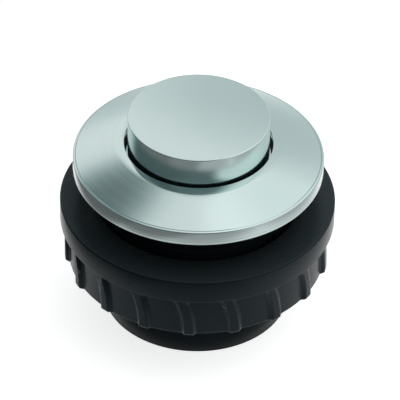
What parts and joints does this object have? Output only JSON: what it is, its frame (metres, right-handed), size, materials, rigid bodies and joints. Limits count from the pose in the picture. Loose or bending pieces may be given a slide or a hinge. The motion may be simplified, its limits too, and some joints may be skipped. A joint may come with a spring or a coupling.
{
  "type": "doorbell button",
  "caption": "Round push button for a panel hole: an aluminium cap in a sloped aluminium ring, on a black threaded sleeve with a ribbed ring nut.",
  "frame": {"origin": "centre of the bezel's underside, where it seats on the panel", "axes": "+Z out of the panel towards the finger, along the button's axis; -Y is the front that the picture shows; +X is to the right"},
  "size_m": [0.0442, 0.0442, 0.0361],
  "materials": {
    "anodised_aluminium": "satin, turned",
    "black_plastic": "satin",
    "pale_plastic": "matte",
    "black_rubber": "matte",
    "spring_steel": "satin",
    "plated_steel": "bright",
    "brass": "satin",
    "contact_silver": "satin"
  },
  "bodies": {
    "housing": {"bezel": "anodised_aluminium", "cap_seal": "black_rubber", "bezel_gasket": "black_rubber", "threaded_sleeve": "black_plastic", "return_spring": "spring_steel", "guide_plate": "pale_plastic", "terminal_block": "black_plastic", "retaining_ring": "spring_steel", "fixed_contact_left": "contact_silver", "fixed_contact_right": "contact_silver", "terminal_left": "brass", "terminal_right": "brass", "clamp_plate_left": "plated_steel", "clamp_plate_right": "plated_steel", "terminal_screw_left": "plated_steel", "terminal_screw_right": "plated_steel"},
    "button": {"button_cap": "anodised_aluminium", "plunger": "pale_plastic", "stem_clip": "spring_steel", "contact_spring": "spring_steel"},
    "contact": {"contact_bridge": "brass", "moving_contact_left": "contact_silver", "moving_contact_right": "contact_silver"},
    "nut": {"ring_nut": "black_plastic"}
  },
  "joints": [
    {"name": "button_press", "type": "slide", "parent": "housing", "child": "button", "axis": [0, 0, -1], "range_m": [0, 0.002], "stiffness_N_per_m": 400, "springref_m": -0.0025, "deforming": ["return_spring"]},
    {"name": "bridge_lag", "type": "slide", "parent": "button", "child": "contact", "axis": [0, 0, 1], "range_m": [0, 0.0006], "deforming": ["contact_spring"]},
    {"name": "nut_travel", "type": "slide", "parent": "housing", "child": "nut", "axis": [0, 0, 1], "range_m": [-0.0086, 0.0055]}
  ],
  "couplings": [
    {"joint": "bridge_lag", "follows": "button_press", "ratio": 0.3}
  ]
}
